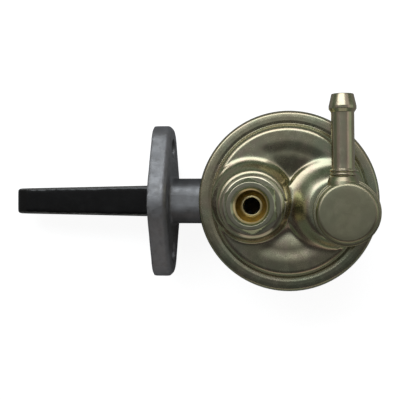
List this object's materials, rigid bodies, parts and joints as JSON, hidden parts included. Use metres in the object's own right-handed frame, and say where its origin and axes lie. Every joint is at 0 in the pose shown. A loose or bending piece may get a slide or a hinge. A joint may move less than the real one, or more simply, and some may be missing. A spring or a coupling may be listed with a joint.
{
  "type": "mechanical fuel pump",
  "caption": "Flange-mounted diaphragm fuel pump with a pressed cover, an inverted-flare inlet, an outlet hose nipple and a cam-driven rocker arm.",
  "frame": {"origin": "centre of the mounting flange's face", "axes": "+Z along the diaphragm's axis towards the cover, -X out of the mounting face along the rocker arm, +Y the way the outlet nipple points"},
  "size_m": [0.1708, 0.0831, 0.0672],
  "materials": {
    "cast_aluminium": "satin, as cast",
    "passivated_steel": "pressed steel, zinc plated and yellow passivated",
    "turned_fitting": "turned steel, zinc plated and yellow passivated",
    "black_steel": "black, half gloss",
    "bright_steel": "plain bright steel",
    "brass": "pressed brass",
    "rubber": "moulded rubber on cloth",
    "gasket_board": "pressed fibre board"
  },
  "bodies": {
    "housing": {"lower_housing": "cast_aluminium", "cover": "passivated_steel", "cover_gasket": "gasket_board", "valve_body": "cast_aluminium", "inlet_fitting": "turned_fitting", "outlet_cup": "passivated_steel", "outlet_nipple": "turned_fitting", "inlet_valve_seat": "brass", "inlet_valve_cage": "brass", "inlet_valve_spring": "bright_steel", "outlet_valve_seat": "brass", "outlet_valve_cage": "brass", "outlet_valve_spring": "bright_steel", "oil_seal": "rubber", "seal_retainer": "bright_steel", "diaphragm_spring": "bright_steel", "pivot_pin": "bright_steel", "side_washers": "bright_steel", "pin_plugs": "bright_steel", "return_spring": "bright_steel"},
    "arm": {"rocker_arm": "black_steel", "pivot_bush": "brass"},
    "link": {"rocker_link": "bright_steel"},
    "plunger": {"pull_rod": "bright_steel", "diaphragm": "rubber", "diaphragm_top_plate": "bright_steel", "diaphragm_bottom_plate": "bright_steel"},
    "inlet_disc": {"inlet_valve_disc": "rubber"},
    "outlet_disc": {"outlet_valve_disc": "rubber"}
  },
  "joints": [
    {"name": "arm_swing", "type": "hinge", "parent": "housing", "child": "arm", "pos_m": [0.019, 0, -0.0034], "axis": [0, 1, 0], "range_deg": [0, 6], "stiffness_Nm_per_rad": 0.6, "springref_deg": -17.19, "deforming": ["return_spring"]},
    {"name": "link_swing", "type": "hinge", "parent": "housing", "child": "link", "pos_m": [0.019, 0, -0.0034], "axis": [0, 1, 0], "range_deg": [0, 6]},
    {"name": "plunger_slide", "type": "slide", "parent": "housing", "child": "plunger", "axis": [0, 0, -1], "range_m": [0, 0.0046], "stiffness_N_per_m": 500, "springref_m": -0.008, "deforming": ["diaphragm_spring", "diaphragm"]},
    {"name": "inlet_disc_lift", "type": "slide", "parent": "housing", "child": "inlet_disc", "axis": [0, 0, -1], "range_m": [0, 0.0013], "stiffness_N_per_m": 40, "springref_m": -0.002, "deforming": ["inlet_valve_spring"]},
    {"name": "outlet_disc_lift", "type": "slide", "parent": "housing", "child": "outlet_disc", "axis": [0, 0, 1], "range_m": [0, 0.0013], "stiffness_N_per_m": 40, "springref_m": -0.002, "deforming": ["outlet_valve_spring"]}
  ],
  "couplings": [
    {"joint": "link_swing", "follows": "arm_swing", "ratio": 1},
    {"joint": "plunger_slide", "follows": "arm_swing", "m_per_rad": 0.0435}
  ]
}
